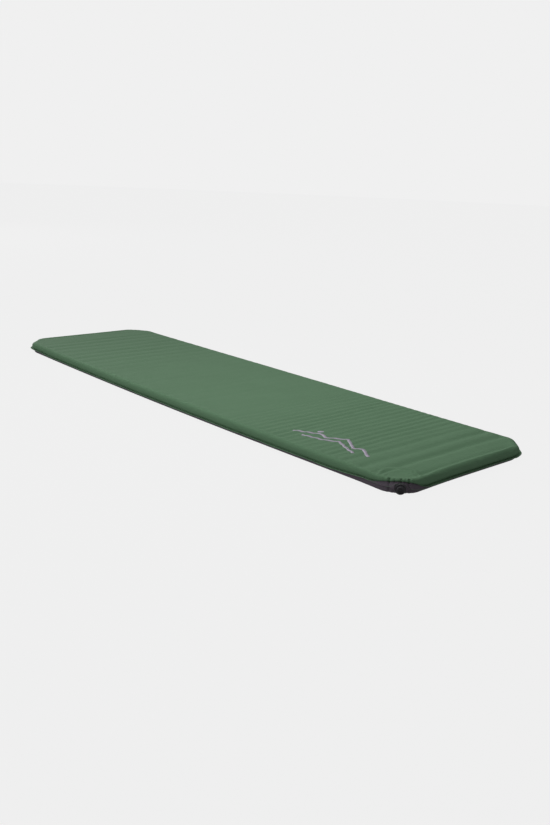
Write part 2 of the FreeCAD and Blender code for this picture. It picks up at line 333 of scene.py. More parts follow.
def ribRelief(x, y):
    # shallow valleys over the foam's channels, and the raised line round the valve
    wander = waves(x, y, ribs["wander"])
    nearShare = smoothStep(x, ribs["nearGone"], ribs["nearFull"]) * (1 - smoothStep(x, *ribs["nearLast"]))
    farShare = smoothStep(-x, -ribs["farGone"], -ribs["farFull"]) * (1 - smoothStep(-x, *ribs["farLast"]))
    middle = 1 - smoothStep(np.abs(x - ribs["middlePlace"]), *ribs["middleReach"])
    nearTurn = 2 * np.pi * (x + wander - ribs["nearFirst"]) / ribs["pitch"]
    finer = 1 - smoothStep(x, *ribs["finerReach"])
    farTurn = 2 * np.pi * (x + wander - ribs["farFirst"]) / ribs["pitch"]
    uneven = 1.0 + waves(x, y, ribs["uneven"])
    depth = nearShare * (1 - finer) * valley(nearTurn) ** ribs["sharpness"]
    depth = depth + nearShare * finer * ribs["finerShare"] * valley(2 * nearTurn)
    farDepth = ribs["farShare"] * farShare + ribs["middleShare"] * middle
    depth = depth + farDepth * valley(farTurn) ** ribs["sharpness"]
    q = alongCut(x, y)
    away = np.sqrt(fromValve(x, y) ** 2 + (valveWrap["weltNarrow"] ** -2 - 1) * q ** 2)
    welt = np.exp(-((away - valveWrap["weltRadius"]) / valveWrap["weltWidth"]) ** 2)
    innerPlace = away / valveWrap["weltRadius"] - valveWrap["innerWeltPlace"]
    welt = welt + valveWrap["innerWeltShare"] * np.exp(-(innerPlace / valveWrap["innerWeltWidth"]) ** 2)
    hollow = 1 - smoothStep(away, valveWrap["hollowFrom"], valveWrap["weltRadius"])
    relief = valveWrap["weltHeight"] * welt - valveWrap["hollow"] * hollow + waves(x, y, ribs["swell"])
    endValley = np.exp(-((np.abs(x) - ribs["endPlace"]) / ribs["endWidth"]) ** 2)
    endValley = endValley * (1 - smoothStep(np.abs(y), *ribs["endReach"]))
    return relief - ribs["depth"] * depth * uneven - ribs["endDepth"] * endValley


def settle(x, y, z):
    # bow of the long sides and lift of the ends, which leave the valve where it is
    bow = np.clip(1 - (x / mat["bowReach"]) ** 2, 0, 1) ** mat["bowPower"]
    share = 1 - np.exp(-(fromValve(x, y) / mat["stillReach"]) ** 2)
    lift = mat["endLift"] * (x / mat["halfLength"]) ** 2 * share
    return np.column_stack([x, y * (1 + mat["sideBow"] * bow / mat["halfWidth"]), z + lift])


def pleatDepth(x, y):
    # folds beside the valve, where the side is pinched in
    q = alongCut(x, y)
    near = np.exp(-(fromValve(x, y) / valveWrap["pleatReach"]) ** 4)
    return near * sum(depth * np.exp(-((q - place) / width) ** 2)
                      for place, width, depth in valveWrap["pleats"])


def flangeWave(x, y):
    along = x * sheets["waveTurns"][0] + y * sheets["waveTurns"][1]
    wave = sum(size * np.sin(turns * along + start) for size, turns, start in sheets["waveTerms"])
    calm = 1 - np.exp(-(fromValve(x, y) / valveWrap["calmReach"]) ** 4)
    return sheets["flangeWave"] * wave * calm


class EdgeShape:
    # how the sides stand at each place of the grid's loop
    def __init__(self, grid):
        self.q = alongCut(grid.edgeX, grid.edgeY)
        self.atValve = np.where(fromValve(grid.edgeX, grid.edgeY) < valveWrap["zone"], 1.0, 0.0)
        nx, ny = grid.normal[:, 0], grid.normal[:, 1]
        self.corner = (2 * nx * ny) ** topSide["cornerPower"] * (1 - self.atValve)
        self.shoulder = topSide["shoulderLong"] * ny ** 2 + topSide["shoulderShort"] * nx ** 2
        self.shoulder = self.shoulder + topSide["cornerShoulder"] * self.corner
        self.bulge = topSide["bulgeDepth"] - topSide["cornerFull"] * self.corner
        self.bulgeHeight = topSide["bulgeHeight"] - topSide["cornerBulgeDrop"] * self.corner
        self.power = 2 / (topSide["squareness"] - topSide["cornerSquareness"] * self.corner)
        self.rootOut = topSide["cornerRoot"] * self.corner
        self.ear = topSide["cornerEar"] * self.corner
        self.seam = seamHeight(grid.edgeX, grid.edgeY)
        self.rise = footRise(grid.edgeX, grid.edgeY)
        self.pinch = pleatDepth(grid.edgeX, grid.edgeY)
        self.wave = flangeWave(grid.edgeX, grid.edgeY)
        reach = np.clip(np.abs(self.q) / valveWrap["hoodReach"], 0, 1)
        inner, outer = valveWrap["hoodCurve"]
        self.hood = (1 - reach ** inner) ** outer * self.atValve
        self.taper = (1 - reach ** valveWrap["taperPower"]) * self.atValve
        flat = self.seam + sheets["fillet"]
        self.root = flat + (valveWrap["hoodHeight"] - flat) * self.hood
        self.root = np.maximum(self.root, self.seam + self.rise) + topSide["cornerLift"] * self.corner

    def flangeDepth(self, depth):
        # the trimmed edge stands further out at the corners
        share = depth / topSide["rootDepth"]
        return depth - self.ear * (1 - share) - self.rootOut * share

    def topFlange(self, depth):
        # outer face of the top sheet on the welded edge
        share = 1 - depth / topSide["rootDepth"]
        overFoot = self.seam + self.rise
        height = self.root + (overFoot - self.root) * smoothStep(share * valveWrap["flangeSteep"], 0.0, 1.0)
        crease = self.pinch * self.hood * (1 - np.clip(share, 0, 1)) ** valveWrap["creasePower"]
        return np.maximum(height - crease, overFoot) + self.wave * share


def topProfile(shape):
    # (depths, share of the height over the weld) from the flat top out to the side's foot
    root = shape.flangeDepth(topSide["rootDepth"])
    steps = np.linspace(1, 0, topSide["bandRings"] + 2)[1:-1]
    rings = [(shape.shoulder + (mat["borderDepth"] - shape.shoulder) * t, 1.0) for t in steps]
    for angle in np.linspace(math.pi / 2, 0, topSide["roundRings"]):
        out = max(math.cos(angle), 0.0) ** shape.power
        height = shape.bulgeHeight + (1 - shape.bulgeHeight) * math.sin(angle) ** shape.power
        rings.append((shape.shoulder + (shape.bulge - shape.shoulder) * out, height))
    for angle in np.linspace(0, math.pi / 2, topSide["underRings"] + 1)[1:]:
        depth = shape.bulge + (root - shape.bulge) * (1 - math.cos(angle))
        rings.append((depth, shape.bulgeHeight * (1 - math.sin(angle))))
    return rings


def bottomProfile(shape):
    # (depth, share of the weld's height over the ground) from the ground out to the welded edge
    power = 2 / bottomSide["squareness"]
    reach = bottomSide["floorDepth"] - bottomSide["bulgeDepth"]
    rings = [(bottomSide["innerDepth"], 0.0)]
    for angle in np.linspace(math.pi / 2, 0, bottomSide["roundRings"]):
        depth = bottomSide["bulgeDepth"] + reach * (1 - max(math.cos(angle), 0.0) ** power)
        rings.append((depth, bottomSide["bulgeHeight"] * (1 - math.sin(angle) ** power)))
    root = shape.flangeDepth(topSide["rootDepth"])
    rings.append(((root + bottomSide["bulgeDepth"]) / 2, bottomSide["footShare"]))
    rings.append((root, 1.0))
    return rings


class Surface:
    # points and faces gathered ring by ring, from the grid outwards
    def __init__(self, grid, heights):
        self.grid = grid
        self.xs, self.ys, self.zs = [grid.x], [grid.y], [heights]
        self.faces = grid.gridFaces()
        self.inner, self.count = grid.loop, len(grid.x)

    def addRing(self, x, y, z, closed=True, keep=None):
        self.xs.append(x)
        self.ys.append(y)
        self.zs.append(z)
        outer = self.count + np.arange(len(x))
        faces = ringFaces(self.inner, outer, closed)
        if keep is not None:
            faces = [face for i, face in enumerate(faces) if keep[i] and keep[i + 1]]
        self.faces += faces
        self.inner, self.count = outer, self.count + len(x)

    def points(self):
        return settle(np.concatenate(self.xs), np.concatenate(self.ys), np.concatenate(self.zs))


cloth = {
    "frames": 16,
    "quality": 5,
    "heldFrom": 0.034,        # further in than this the foam holds the fabric
    "freeFrom": 0.024,        # nearer to the edge than this it is free
    "footShare": 0.15,        # it is freed gradually over this share of the side, from the weld up
    "slack": 0.002,
    "pressure": 4.0,
    "pointMass": 0.001,
    "bending": 0.05,
    "mostMoved": 0.0013,      # no point moves further
    "valveReach": (0.070, 0.100),    # the fabric is held by the valve's foot up to here
}


def underPressure(points, faces, free):
    # cloth simulation of the sides, slack fabric with air behind it; free is 0 where it is held
    piece = meshObject("clothRun", points, faces)
    held = piece.vertex_groups.new(name="held")
    for index, share in enumerate(free):
        held.add([index], 1.0 - float(share), "REPLACE")
    modifier = addModifier(piece, "CLOTH")
    modifier.collision_settings.use_collision = False
    modifier.point_cache.frame_end = cloth["frames"]
    settings = modifier.settings
    settings.quality = cloth["quality"]
    settings.mass = cloth["pointMass"]
    settings.bending_stiffness = cloth["bending"]
    settings.vertex_group_mass = held.name
    settings.shrink_min = -cloth["slack"]
    settings.use_pressure, settings.uniform_pressure_force = True, cloth["pressure"]
    settings.effector_weights.gravity = 0.0
    scene = bpy.context.scene
    for frameNumber in range(1, cloth["frames"] + 1):
        scene.frame_set(frameNumber)
    run = piece.evaluated_get(bpy.context.evaluated_depsgraph_get()).data
    moved = np.empty(len(points) * 3)
    run.vertices.foreach_get("co", moved)
    moved = moved.reshape(-1, 3) - points
    scene.frame_set(1)
    bpy.data.meshes.remove(piece.data)
    length = np.maximum(np.linalg.norm(moved, axis=1), 1e-9)
    most = cloth["mostMoved"]
    moved *= (most * np.tanh(length / most) / length * (free > 0))[:, None]
    print("cloth run, fabric moved up to %.2f mm" % (np.linalg.norm(moved, axis=1).max() * 1000))
    return points + moved


def topSurface(grid):
    # outer face of the top sheet
    shape = EdgeShape(grid)
    awayFromValve = smoothStep(fromValve(grid.edgeX, grid.edgeY), *cloth["valveReach"])
    free = [np.zeros_like(grid.x)]
    crown = mat["thickness"] + topSide["crownHeight"]
    surface = Surface(grid, crown + ribRelief(grid.x, grid.y))
    for depth, share in topProfile(shape):
        x, y = grid.at(depth)
        fold = shape.pinch * (1 - smoothStep(share, topSide["foldFade"], 1.0))
        z = shape.root + share * (crown - shape.root)
        z = z + ribRelief(x, y) * smoothStep(depth, *topSide["reliefDepth"]) - valveWrap["foldDrop"] * fold
        surface.addRing(x - grid.normal[:, 0] * fold, y - grid.normal[:, 1] * fold, z)
        inBand = smoothStep(-depth, -cloth["heldFrom"], -cloth["freeFrom"])
        free.append(inBand * smoothStep(share, 0.0, cloth["footShare"]) * awayFromValve)
    for depth in sheets["flangeDepths"]:
        x, y = grid.at(shape.flangeDepth(depth))
        surface.addRing(x, y, shape.topFlange(depth))
        free.append(np.zeros_like(x))
    points = surface.points()
    points = underPressure(points, surface.faces, np.concatenate(free))
    return points, surface.faces


def bottomSurface(grid):
    # outer face of the bottom sheet, with the tab that it lays over the valve's corner
    shape = EdgeShape(grid)
    surface = Surface(grid, np.zeros_like(grid.x))
    edge = shape.seam - shape.rise
    for depth, share in bottomProfile(shape):
        x, y = grid.at(depth)
        fold = valveWrap["bottomPinch"] * shape.pinch * (share > 0)
        surface.addRing(x - grid.normal[:, 0] * fold, y - grid.normal[:, 1] * fold, share * edge)
    for depth in sheets["flangeDepths"]:
        x, y = grid.at(shape.flangeDepth(depth))
        surface.addRing(x, y, edge + shape.wave * (1 - depth / topSide["rootDepth"]))
    onTab = np.flatnonzero(shape.taper > 0)
    surface.inner = surface.inner[onTab]
    for depth in (*valveWrap["tabRings"], valveWrap["tabDepth"]):
        tabDepth = depth * shape.taper
        x, y = grid.at(tabDepth)
        height = shape.topFlange(np.minimum(tabDepth, topSide["rootDepth"])) + valveWrap["tabGap"]
        besideCollar = np.abs(shape.q[onTab]) >= valveWrap["tabOpening"]
        surface.addRing(x[onTab], y[onTab], height[onTab], False, besideCollar if depth == 0.0 else None)
    return surface.points(), [face[::-1] for face in surface.faces]


def meshObject(name, points, faces, smooth=True):
    mesh = bpy.data.meshes.new(name)
    mesh.from_pydata([tuple(p) for p in points], [], [tuple(int(i) for i in f) for f in faces])
    mesh.polygons.foreach_set("use_smooth", [smooth] * len(mesh.polygons))
    piece = bpy.data.objects.new(name, mesh)
    bpy.context.scene.collection.objects.link(piece)
    return piece


def applyModifiers(piece):
    bpy.context.view_layer.update()
    evaluated = piece.evaluated_get(bpy.context.evaluated_depsgraph_get())
    old, piece.data = piece.data, bpy.data.meshes.new_from_object(evaluated)
    piece.modifiers.clear()
    bpy.data.meshes.remove(old)
    piece.data.name = piece.name
    return piece


def addModifier(piece, kind, **settings):
    modifier = piece.modifiers.new(kind.lower(), kind)
    for key, value in settings.items():
        setattr(modifier, key, value)
    return modifier


def makeSheet(name, surface):
    points, faces = surface
    piece = meshObject(name, points, faces)
    addModifier(piece, "SOLIDIFY", thickness=sheets["thickness"], offset=-1.0)
    return applyModifiers(piece)


weld = {
    "thickness": 0.00016,
    "outerDepth": 0.0004,
    "innerDepth": 0.0094,
    "narrowed": 0.0080,       # it is this much narrower under the tab
    "narrowing": 2.5,         # how fast it narrows
}


def makeWeldBand(grid):
    # the fused band between the two sheets' edges, open where the valve's foot sits
    shape = EdgeShape(grid)
    keep = shape.rise < sheets["fillet"] + 1e-6
    firstKept = next(i for i in range(len(keep)) if keep[i] and not keep[i - 1])
    order = [(firstKept + i) % len(keep) for i in range(len(keep))]
    order = [i for i in order if keep[i]]
    innerDepth = weld["innerDepth"] - weld["narrowed"] * np.clip(weld["narrowing"] * shape.hood, 0, 1)
    sections = []
    for side, atEdge in ((1, False), (1, True), (-1, True), (-1, False)):
        depth = np.full_like(innerDepth, weld["outerDepth"]) if atEdge else innerDepth
        x, y = grid.at(shape.flangeDepth(depth))
        wave = shape.wave * np.clip(1 - depth / topSide["rootDepth"], 0, 1)
        sections.append(settle(x, y, shape.seam + side * weld["thickness"] / 2 + wave)[order])
    count = len(order)
    faces = [(a * count + i, a * count + i + 1, (a + 1) % 4 * count + i + 1, (a + 1) % 4 * count + i)
             for a in range(4) for i in range(count - 1)]
    faces += [tuple(a * count for a in (3, 2, 1, 0)), tuple(a * count + count - 1 for a in range(4))]
    return meshObject("weldBand", np.concatenate(sections), [f[::-1] for f in faces], smooth=False)


foam = {
    "spacing": 0.010,
    "skinGap": 0.0014,        # over the bottom sheet's outer face, for fabric and film
    "crownGap": 0.0030,       # under the top sheet's
    "valveSetback": 0.0080,   # the slab stands further in beside the valve's creases
    "setbackReach": 0.07,
    "sideDepth": 0.0105,
    "sideRings": 15,
    "rounding": 0.011,
    "sidePower": 0.6,         # 1 makes the side a half round, and less is squarer
    "pitch": 0.050,           # tunnels across the slab, as the CAD foam has them
    "tunnelWidth": 0.026,
    "tunnelHeight": 0.014,
    "tunnelArcs": 9,          # points round each end of the section
    "valveEnd": (0.830, 12),
    "farEnd": (-0.790, 10),
    "pocketRadius": 0.010,    # round the valve's guard
    "pocketReach": 0.034,
    "pocketSides": 32,
    "cutterOut": 0.02,        # the cutters run this far out of the slab
}


def foamSlabPoints(grid):
    # closed slab just inside the two sheets
    crown = mat["thickness"] + topSide["crownHeight"] - foam["crownGap"]
    floor = foam["skinGap"]
    rings = []
    beside = np.exp(-(fromValve(grid.edgeX, grid.edgeY) / foam["setbackReach"]) ** 4)
    power = foam["sidePower"]
    for angle in np.linspace(0, math.pi, foam["sideRings"]):
        sweep = math.sin(angle) ** power if 0 < angle < math.pi else 0.0
        depth = foam["sideDepth"] + foam["rounding"] * (1 - sweep) + foam["valveSetback"] * beside
        rings.append((depth, (1 + math.copysign(abs(math.cos(angle)) ** power, math.cos(angle))) / 2))
    surface = Surface(grid, crown + ribRelief(grid.x, grid.y))
    for depth, share in rings:
        x, y = grid.at(depth)
        surface.addRing(x, y, floor + (crown - floor) * share + ribRelief(x, y) * share)
    rimX, rimY = grid.at(mat["borderDepth"])
    surface.addRing(rimX, rimY, np.full_like(rimX, floor))
    index = np.full(len(grid.x), -1)
    index[grid.loop] = surface.inner
    free = np.flatnonzero(index < 0)
    index[free] = surface.count + np.arange(len(free))
    surface.xs.append(grid.x[free])
    surface.ys.append(grid.y[free])
    surface.zs.append(np.full(len(free), floor))
    surface.faces += index[np.array(grid.gridFaces())][:, ::-1].tolist()
    return surface.points(), surface.faces


def tunnelCutter():
    # every tunnel as a closed bar with round ends in section, in one mesh
    radius = foam["tunnelHeight"] / 2
    straight = foam["tunnelWidth"] / 2 - radius
    section = [(straight + radius * math.sin(a), -radius * math.cos(a))
               for a in np.linspace(0, math.pi, foam["tunnelArcs"])]
    section += [(-x, -z) for x, z in section]
    firsts = ((foam["valveEnd"], -1), (foam["farEnd"], 1))
    places = [first + way * i * foam["pitch"] for (first, count), way in firsts for i in range(count)]
    points, faces = [], []
    half = mat["halfWidth"] + foam["cutterOut"]
    for place in places:
        start, count = len(points), len(section)
        for y in (-half, half):
            points += [(place + x, y, mat["thickness"] / 2 + z) for x, z in section]
        faces += [(start + i, start + (i + 1) % count, start + count + (i + 1) % count, start + count + i)
                  for i in range(count)]
        faces += [tuple(range(start + count - 1, start - 1, -1)),
                  tuple(range(start + count, start + 2 * count))]
    return meshObject("tunnelCutter", points, faces)


def pocketCutter():
    # round pocket for the valve's guard, open towards the corner
    away = Vector(valveAxis)
    across = Vector(valveAcross)
    centre = Vector(valvePoint)
    steps = foam["pocketSides"]
    points = []
    for along in (-foam["pocketReach"], foam["cutterOut"]):
        for i in range(steps):
            angle = 2 * math.pi * i / steps
            offset = across * math.cos(angle) + Vector((0, 0, 1)) * math.sin(angle)
            points.append(centre + away * along + offset * foam["pocketRadius"])
    faces = [(i, (i + 1) % steps, steps + (i + 1) % steps, steps + i) for i in range(steps)]
    faces += [tuple(range(steps - 1, -1, -1)), tuple(range(steps, 2 * steps))]
    return meshObject("pocketCutter", points, faces)


def makeFoamSlab():
    points, faces = foamSlabPoints(MatGrid(foam["spacing"]))
    slab = meshObject("foamSlab", points, faces)
    for cutter in (tunnelCutter(), pocketCutter()):
        addModifier(slab, "BOOLEAN", object=cutter, operation="DIFFERENCE", solver="EXACT")
        applyModifiers(slab)
        bpy.data.objects.remove(cutter)
    return slab


printMark = {
    "start": 0.745,           # along the mat, where the left end of the mark is
    "length": 0.265,
    "base": -0.120,           # across the mat
    "height": 0.066,
    "stroke": 0.0085,
    "lift": 0.00015,          # over the fabric
    "inkThickness": 0.00006,
    "step": 0.003,            # between its points
    "mergeGap": 0.00002,
    "ridges": (
        ((0.0, 0.12), (0.17, 0.60), (0.26, 0.42), (0.46, 1.0), (0.64, 0.48), (0.73, 0.68), (1.0, 0.12)),
        ((0.16, 0.0), (0.30, 0.22), (0.46, 0.52), (0.60, 0.20), (0.84, 0.0)),
    ),
    "sun": (0.80, 0.86),
    "sunRadius": 0.0085,
    "sunSides": 24,
    "sunRings": (0.0001, 0.4, 0.75, 1.0),
}


def markPoint(u, v):
    # u along the mark and v up it, both 0 to 1, to a place on the mat
    return np.array([printMark["start"] - u * printMark["length"],
                     printMark["base"] - (1 - v) * printMark["height"]])


def makePrintMark(surface):
    # two ridge lines and a small disc, printed on the top sheet
    points, faces = [], []
    half = printMark["stroke"] / 2

    def addQuadStrip(left, right):
        start = len(points)
        for a, b in zip(left, right):
            points.extend([tuple(a), tuple(b)])
        for i in range(len(left) - 1):
            faces.append((start + 2 * i, start + 2 * i + 1, start + 2 * i + 3, start + 2 * i + 2))

    for ridge in printMark["ridges"]:
        corners = [markPoint(u, v) for u, v in ridge]
        offsets = []
        for i in range(len(corners)):
            ways = [corners[j + 1] - corners[j] for j in (i - 1, i) if 0 <= j < len(corners) - 1]
            normals = [np.array([-w[1], w[0]]) / np.hypot(*w) for w in ways]
            middle = sum(normals) / len(normals)
            offsets.append(middle / np.dot(middle, normals[0]) * half)
        for i in range(len(corners) - 1):
            steps = max(2, int(np.hypot(*(corners[i + 1] - corners[i])) / printMark["step"]))
            t = np.linspace(0, 1, steps + 1)[:, None]
            left = (corners[i] - offsets[i]) * (1 - t) + (corners[i + 1] - offsets[i + 1]) * t
            right = (corners[i] + offsets[i]) * (1 - t) + (corners[i + 1] + offsets[i + 1]) * t
            addQuadStrip(left, right)
    centre = markPoint(*printMark["sun"])
    angles = np.linspace(0, 2 * math.pi, printMark["sunSides"] + 1)
    circle = np.column_stack([np.cos(angles), np.sin(angles)]) * printMark["sunRadius"]
    for inner, outer in zip(printMark["sunRings"], printMark["sunRings"][1:]):
        addQuadStrip(centre + circle * inner, centre + circle * outer)
    tree = BVHTree.FromObject(surface, bpy.context.evaluated_depsgraph_get())
    laid = []
    for x, y in points:
        hit = tree.ray_cast(Vector((x, y, 1.0)), Vector((0, 0, -1)))[0]
        laid.append((x, y, hit.z + printMark["lift"]))
    piece = meshObject("printMark", laid, faces)
    addModifier(piece, "WELD", merge_threshold=printMark["mergeGap"])
    piece = applyModifiers(piece)
    for polygon in piece.data.polygons:
        if polygon.normal.z < 0:
            polygon.flip()
    addModifier(piece, "SOLIDIFY", thickness=printMark["inkThickness"], offset=1.0)
    return applyModifiers(piece)


class Sum:
    # a socket or a number, so that shader maths reads as plain expressions
    def __init__(self, shader, value):
        self.shader, self.value = shader, value

    def combine(self, operation, other, swap=False):
        pair = [self.value, other.value if isinstance(other, Sum) else other]
        pair = pair[::-1] if swap else pair
        node = self.shader.node("ShaderNodeMath", {"operation": operation}, {0: pair[0], 1: pair[1]})
        return Sum(self.shader, node.outputs[0])

    def __add__(self, other):
        return self.combine("ADD", other)

    def __radd__(self, other):
        return self.combine("ADD", other)

    def __sub__(self, other):
        return self.combine("SUBTRACT", other)

    def __rsub__(self, other):
        return self.combine("SUBTRACT", other, swap=True)

    def __mul__(self, other):
        return self.combine("MULTIPLY", other)

    def __rmul__(self, other):
        return self.combine("MULTIPLY", other)

    def wave(self, cycles):
        # sine with that many cycles to the metre
        return (self * (2 * math.pi * cycles)).combine("SINE", 0.0)

    def clamp(self, low, high):
        return self.combine("MAXIMUM", low).combine("MINIMUM", high)


class Shader:
    # one material and short ways to add to its nodes
    def __init__(self, name):
        self.material = bpy.data.materials.new(name)
        self.material.use_nodes = True
        self.tree = self.material.node_tree
        self.tree.nodes.clear()
        self.place = self.node("ShaderNodeTexCoord").outputs["Object"]
        self.surface = self.node("ShaderNodeBsdfPrincipled")
        self.output = self.node("ShaderNodeOutputMaterial", {}, {"Surface": self.surface.outputs[0]})

    def node(self, kind, settings=None, inputs=None):
        made = self.tree.nodes.new(kind)
        for key, value in (settings or {}).items():
            setattr(made, key, value)
        for key, value in (inputs or {}).items():
            self.feed(made.inputs[key], value)
        return made

    def feed(self, socket, value):
        value = value.value if isinstance(value, Sum) else value
        if isinstance(value, bpy.types.NodeSocket):
            self.tree.links.new(value, socket)
        else:
            socket.default_value = value

    def set(self, **values):
        # sockets of the shader, named without their spaces
        names = {socket.name.replace(" ", "").replace(".", ""): socket for socket in self.surface.inputs}
        for key, value in values.items():
            self.feed(names[key], value)

    def noise(self, scale, detail=2.0, roughness=0.5, vector=None):
        made = self.node("ShaderNodeTexNoise", {}, {"Vector": vector or self.place, "Scale": scale,
                                                   "Detail": detail, "Roughness": roughness})
        return Sum(self, made.outputs["Fac"])

    def stretched(self, scales):
        made = self.node("ShaderNodeVectorMath", {"operation": "MULTIPLY"}, {0: self.place, 1: scales})
        return made.outputs[0]

    def axes(self):
        split = self.node("ShaderNodeSeparateXYZ", {}, {0: self.place})
        return [Sum(self, split.outputs[i]) for i in range(3)]

    def blendColours(self, share, first, second):
        made = self.node("ShaderNodeMix", {"data_type": "RGBA"})
        for index, value in ((0, share), (6, first), (7, second)):
            self.feed(made.inputs[index], value)
        return made.outputs[2]

    def bump(self, height, strength, distance):
        made = self.node("ShaderNodeBump", {}, {"Height": height, "Strength": strength,
                                                "Distance": distance})
        self.set(Normal=made.outputs[0])


def colour(red, green, blue):
    # an 8 bit sRGB colour as the linear colour that a socket takes
    def linear(level):
        level = level / 255
        return level / 12.92 if level <= 0.04045 else ((level + 0.055) / 1.055) ** 2.4
    return (linear(red), linear(green), linear(blue), 1.0)


greenFabric = {
    "light": colour(98, 132, 102),
    "dark": colour(88, 122, 92),
    "weave": 1250.0,          # threads to the metre
    "roughness": 0.78,
    "sheen": 0.02,
    "sheenRoughness": 0.45,
    "specular": 0.2,
    "patches": 9.0,           # noise scales, of the tone and of the loose fibres
    "fibres": 420.0,
    "crinkle": (48.0, 16.0, 48.0),    # to the metre along, across and up, so they run across the mat
    "bumpStrength": 0.7,
    "bumpHeight": 0.0011,
}

# the same cloth in another dye
charcoalFabric = dict(greenFabric, light=colour(100, 92, 101), dark=colour(84, 77, 86))


def wovenFabric(name, finish):
    # plain weave with slight patches of tone, and fine crinkles in its relief
    shader = Shader(name)
    x, y, z = shader.axes()
    warp = x.wave(finish["weave"])
    weft = (y + z).wave(finish["weave"])
    weave = warp * weft
    patches = shader.noise(finish["patches"], 4.0, 0.6)
    fibres = shader.noise(finish["fibres"], 2.0, 0.7)
    tone = (patches * 0.75 + fibres * 0.25 + weave * 0.06).clamp(0.0, 1.0)
    shader.set(BaseColor=shader.blendColours(tone, finish["dark"], finish["light"]),
               Roughness=(finish["roughness"] + patches * 0.10 - weave * 0.03).clamp(0.0, 1.0),
               SheenWeight=finish["sheen"], SheenRoughness=finish["sheenRoughness"],
               SpecularIORLevel=finish["specular"])
    crinkle = shader.noise(1.0, 3.0, 0.55, vector=shader.stretched(finish["crinkle"]))
    shader.bump(weave * 0.05 + fibres * 0.06 + crinkle, finish["bumpStrength"], finish["bumpHeight"])
    return shader.material


fusedFilm = {
    "dark": colour(70, 84, 72),
    "light": colour(94, 108, 95),
    "grain": 700.0,
    "roughness": 0.35,
    "bumpStrength": 0.3,
    "bumpHeight": 0.00005,
}


def weldMaterial():
    shader = Shader("fusedEdge")
    grain = shader.noise(fusedFilm["grain"], 2.0)
    shader.set(BaseColor=shader.blendColours(grain, fusedFilm["dark"], fusedFilm["light"]),
               Roughness=fusedFilm["roughness"] + grain * 0.2)
    shader.bump(grain, fusedFilm["bumpStrength"], fusedFilm["bumpHeight"])
    return shader.material


openCells = {
    "dark": colour(196, 186, 150),
    "light": colour(232, 224, 196),
    "pores": 900.0,
    "patches": 25.0,
    "roughness": 0.9,
    "bumpStrength": 0.5,
    "bumpHeight": 0.0004,
}


def foamMaterial():
    # open-cell foam, with fine pores and a few large ones, each pore painted darker where its bump sinks,
    # as painted shade
    shader = Shader("openCellFoamPaintedPoreShade")
    pores = shader.node("ShaderNodeTexVoronoi", {}, {"Vector": shader.place, "Scale": openCells["pores"]})
    depth = Sum(shader, pores.outputs["Distance"])
    patches = shader.noise(openCells["patches"], 3.0)
    # painted shade: the tone is darkest at the bottom of each pore, where the bump's height is lowest
    tone = (depth * 0.7 + patches * 0.5).clamp(0.0, 1.0)
    shader.set(BaseColor=shader.blendColours(tone, openCells["dark"], openCells["light"]),
               Roughness=openCells["roughness"])
    shader.bump(depth, openCells["bumpStrength"], openCells["bumpHeight"])
    return shader.material


plastic = {
    "grain": 1600.0,
    "wear": 45.0,
    "roughness": 0.42,
    "index": 1.49,
    "bumpStrength": 0.25,
    "bumpHeight": 0.00006,
}


def mouldedPlastic(name, dark, light, roughness=plastic["roughness"]):
    # fine spark-eroded grain, worn a little smoother in patches
    shader = Shader(name)
    grain = shader.noise(plastic["grain"], 2.0, 0.6)
    wear = shader.noise(plastic["wear"], 3.0)
    shader.set(BaseColor=shader.blendColours(wear * 0.7 + grain * 0.3, dark, light),
               Roughness=(roughness + grain * 0.16 - wear * 0.10).clamp(0.05, 1.0),
               IOR=plastic["index"])
    shader.bump(grain, plastic["bumpStrength"], plastic["bumpHeight"])
    return shader.material


seals = {
    "dark": colour(20, 20, 22),
    "light": colour(38, 37, 40),
    "dust": 300.0,
    "roughness": 0.55,
    "index": 1.52,
    "bumpStrength": 0.15,
    "bumpHeight": 0.00004,
}


def rubber(name):
    shader = Shader(name)
    dust = shader.noise(seals["dust"], 3.0)
    shader.set(BaseColor=shader.blendColours(dust, seals["dark"], seals["light"]),
               Roughness=seals["roughness"] + dust * 0.2, IOR=seals["index"])
    shader.bump(dust, seals["bumpStrength"], seals["bumpHeight"])
    return shader.material


ink = {
    "dark": colour(158, 150, 166),
    "light": colour(186, 178, 196),
    "thin": 160.0,            # noise scale of the thinner places
    "roughness": 0.5,
    "bumpStrength": 0.25,
    "bumpHeight": 0.00008,
}


def printInk():
    # screen-printed ink, which lets a little of the weave through
    shader = Shader("printInk")
    x, y = shader.axes()[:2]
    weave = x.wave(greenFabric["weave"]) * y.wave(greenFabric["weave"])
    thin = shader.noise(ink["thin"], 3.0, 0.6)
    tone = (thin * 0.8 + weave * 0.12).clamp(0.0, 1.0)
    shader.set(BaseColor=shader.blendColours(tone, ink["dark"], ink["light"]),
               Roughness=ink["roughness"] + thin * 0.15)
    shader.bump(weave, ink["bumpStrength"], ink["bumpHeight"])
    return shader.material


def dress(piece, material):
    piece.data.materials.clear()
    piece.data.materials.append(material)


view = {
    "place": (2.0166, -1.6223, 0.6827),
    "yaw": -0.8394,           # from looking along +Y, turned towards -X, in radians
    "down": 0.277,
    "roll": 0.0427,
    "lens": 37.11,
    "sensor": 36.0,
}


def makeCamera():
    ahead = Vector((math.sin(view["yaw"]) * math.cos(view["down"]),
                    math.cos(view["yaw"]) * math.cos(view["down"]), -math.sin(view["down"])))
    right = Vector((math.cos(view["yaw"]), -math.sin(view["yaw"]), 0))
    up = right.cross(ahead)
    turn, lean = math.cos(view["roll"]), math.sin(view["roll"])
    right, up = turn * right + lean * up, turn * up - lean * right
    camera = bpy.data.objects.new("camera", bpy.data.cameras.new("camera"))
    camera.data.lens, camera.data.sensor_width = view["lens"], view["sensor"]
    turned = Matrix((right, up, -ahead)).transposed().to_4x4()
    camera.matrix_world = Matrix.Translation(view["place"]) @ turned
    bpy.context.scene.collection.objects.link(camera)
    bpy.context.scene.camera = camera


